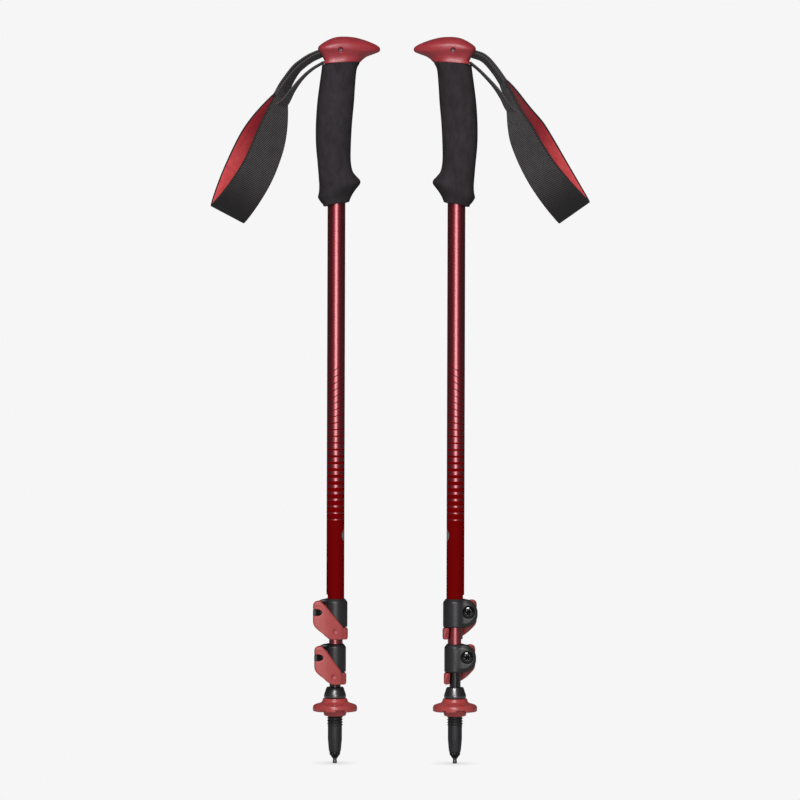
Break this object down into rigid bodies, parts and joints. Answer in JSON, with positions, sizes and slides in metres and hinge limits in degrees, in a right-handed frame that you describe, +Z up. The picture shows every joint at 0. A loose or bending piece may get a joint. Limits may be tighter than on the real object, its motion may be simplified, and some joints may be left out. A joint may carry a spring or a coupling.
{
  "type": "trekking pole pair",
  "caption": "Collapsed telescopic trekking poles with foam grips, mushroom pommels, wrist straps, side lever clamps, small baskets and carbide tips.",
  "frame": {"origin": "on the ground, midway between the two tips", "axes": "+Z up along the poles, +X from the left pole to the right pole, -Y towards the lever side of the left pole"},
  "size_m": [0.337, 0.0448, 0.6536],
  "materials": {
    "red_plastic": "satin",
    "steel": "satin",
    "black_plastic": "satin",
    "foam": "matte",
    "webbing": "woven twill",
    "lining": "brushed",
    "red_shaft": "glossy anodised, turning matte towards the clamp",
    "black_steel": "gloss",
    "black_shaft": "gloss",
    "carbide": "ground"
  },
  "bodies": {
    "left_grip_and_upper_shaft": {"left_pommel": "red_plastic", "left_strap_pin": "steel", "left_grip_core": "black_plastic", "left_foam_grip": "foam", "left_upper_shaft": "red_shaft", "left_upper_clamp_body": "black_plastic", "left_upper_clamp_barrel": "black_steel", "left_upper_clamp_plate": "black_steel"},
    "left_wedge": {"left_strap_wedge": "black_plastic"},
    "left_strap": {"left_strap_webbing": "webbing", "left_strap_tail": "webbing", "left_wrist_band": "webbing", "left_band_lining": "lining"},
    "left_upper_lever": {"left_upper_clamp_lever": "red_plastic"},
    "left_upper_screw": {"left_upper_clamp_screw": "black_steel"},
    "left_middle": {"left_middle_shaft": "red_shaft", "left_middle_bushing": "black_plastic", "left_lower_clamp_body": "black_plastic", "left_lower_clamp_barrel": "black_steel", "left_lower_clamp_plate": "black_steel"},
    "left_lower_lever": {"left_lower_clamp_lever": "red_plastic"},
    "left_lower_screw": {"left_lower_clamp_screw": "black_steel"},
    "left_lower": {"left_lower_shaft": "black_shaft", "left_lower_bushing": "black_plastic", "left_tip_collar": "black_plastic", "left_tip_body": "black_plastic", "left_tip_ferrule": "black_steel", "left_carbide_tip": "carbide"},
    "left_basket_ring": {"left_basket": "red_plastic"},
    "right_grip_and_upper_shaft": {"right_pommel": "red_plastic", "right_strap_pin": "steel", "right_grip_core": "black_plastic", "right_foam_grip": "foam", "right_upper_shaft": "red_shaft", "right_upper_clamp_body": "black_plastic", "right_upper_clamp_barrel": "black_steel", "right_upper_clamp_plate": "black_steel"},
    "right_wedge": {"right_strap_wedge": "black_plastic"},
    "right_strap": {"right_strap_webbing": "webbing", "right_strap_tail": "webbing", "right_wrist_band": "webbing", "right_band_lining": "lining"},
    "right_upper_lever": {"right_upper_clamp_lever": "red_plastic"},
    "right_upper_screw": {"right_upper_clamp_screw": "black_steel"},
    "right_middle": {"right_middle_shaft": "red_shaft", "right_middle_bushing": "black_plastic", "right_lower_clamp_body": "black_plastic", "right_lower_clamp_barrel": "black_steel", "right_lower_clamp_plate": "black_steel"},
    "right_lower_lever": {"right_lower_clamp_lever": "red_plastic"},
    "right_lower_screw": {"right_lower_clamp_screw": "black_steel"},
    "right_lower": {"right_lower_shaft": "black_shaft", "right_lower_bushing": "black_plastic", "right_tip_collar": "black_plastic", "right_tip_body": "black_plastic", "right_tip_ferrule": "black_steel", "right_carbide_tip": "carbide"},
    "right_basket_ring": {"right_basket": "red_plastic"}
  },
  "joints": [
    {"name": "left_middle_slide", "type": "slide", "parent": "left_grip_and_upper_shaft", "child": "left_middle", "axis": [0, 0, -1], "range_m": [0, 0.38]},
    {"name": "left_lower_slide", "type": "slide", "parent": "left_middle", "child": "left_lower", "axis": [0, 0, -1], "range_m": [0, 0.37]},
    {"name": "left_upper_lever_hinge", "type": "hinge", "parent": "left_grip_and_upper_shaft", "child": "left_upper_lever", "pos_m": [-0.066, -0.01537, 0.1362], "axis": [0, 0, -1], "range_deg": [0, 130]},
    {"name": "left_lower_lever_hinge", "type": "hinge", "parent": "left_middle", "child": "left_lower_lever", "pos_m": [-0.06475, -0.01475, 0.0957], "axis": [0, 0, -1], "range_deg": [0, 130]},
    {"name": "left_upper_screw_turn", "type": "hinge", "parent": "left_grip_and_upper_shaft", "child": "left_upper_screw", "pos_m": [-0.066, 0.008, 0.1362], "axis": [0, 1, 0], "range_deg": [-360, 360]},
    {"name": "left_lower_screw_turn", "type": "hinge", "parent": "left_middle", "child": "left_lower_screw", "pos_m": [-0.06475, 0.008, 0.0957], "axis": [0, 1, 0], "range_deg": [-360, 360]},
    {"name": "left_basket_unscrew", "type": "hinge", "parent": "left_lower", "child": "left_basket_ring", "pos_m": [-0.054, 0, 0.05], "axis": [0, 0, 1], "range_deg": [0, 720]},
    {"name": "left_strap_swing", "type": "hinge", "parent": "left_grip_and_upper_shaft", "child": "left_strap", "pos_m": [-0.068, 0, 0.6384], "axis": [0, 1, 0], "range_deg": [-16, 40], "deforming": ["left_strap_webbing", "left_strap_tail"]},
    {"name": "left_wedge_slide", "type": "slide", "parent": "left_grip_and_upper_shaft", "child": "left_wedge", "axis": [-1, 0, 0], "range_m": [0, 0.0035]},
    {"name": "right_pole_lift", "type": "slide", "parent": "left_grip_and_upper_shaft", "child": "right_grip_and_upper_shaft", "axis": [0, 0, 1], "range_m": [0, 0.7]},
    {"name": "right_middle_slide", "type": "slide", "parent": "right_grip_and_upper_shaft", "child": "right_middle", "axis": [0, 0, -1], "range_m": [0, 0.38]},
    {"name": "right_lower_slide", "type": "slide", "parent": "right_middle", "child": "right_lower", "axis": [0, 0, -1], "range_m": [0, 0.37]},
    {"name": "right_upper_lever_hinge", "type": "hinge", "parent": "right_grip_and_upper_shaft", "child": "right_upper_lever", "pos_m": [0.066, 0.01537, 0.1362], "axis": [0, 0, -1], "range_deg": [0, 130]},
    {"name": "right_lower_lever_hinge", "type": "hinge", "parent": "right_middle", "child": "right_lower_lever", "pos_m": [0.06475, 0.01475, 0.0957], "axis": [0, 0, -1], "range_deg": [0, 130]},
    {"name": "right_upper_screw_turn", "type": "hinge", "parent": "right_grip_and_upper_shaft", "child": "right_upper_screw", "pos_m": [0.066, -0.008, 0.1362], "axis": [0, -1, 0], "range_deg": [-360, 360]},
    {"name": "right_lower_screw_turn", "type": "hinge", "parent": "right_middle", "child": "right_lower_screw", "pos_m": [0.06475, -0.008, 0.0957], "axis": [0, -1, 0], "range_deg": [-360, 360]},
    {"name": "right_basket_unscrew", "type": "hinge", "parent": "right_lower", "child": "right_basket_ring", "pos_m": [0.054, 0, 0.05], "axis": [0, 0, 1], "range_deg": [0, 720]},
    {"name": "right_strap_swing", "type": "hinge", "parent": "right_grip_and_upper_shaft", "child": "right_strap", "pos_m": [0.068, 0, 0.6384], "axis": [0, -1, 0], "range_deg": [-16, 40], "deforming": ["right_strap_webbing", "right_strap_tail"]},
    {"name": "right_wedge_slide", "type": "slide", "parent": "right_grip_and_upper_shaft", "child": "right_wedge", "axis": [1, 0, 0], "range_m": [0, 0.0035]}
  ]
}
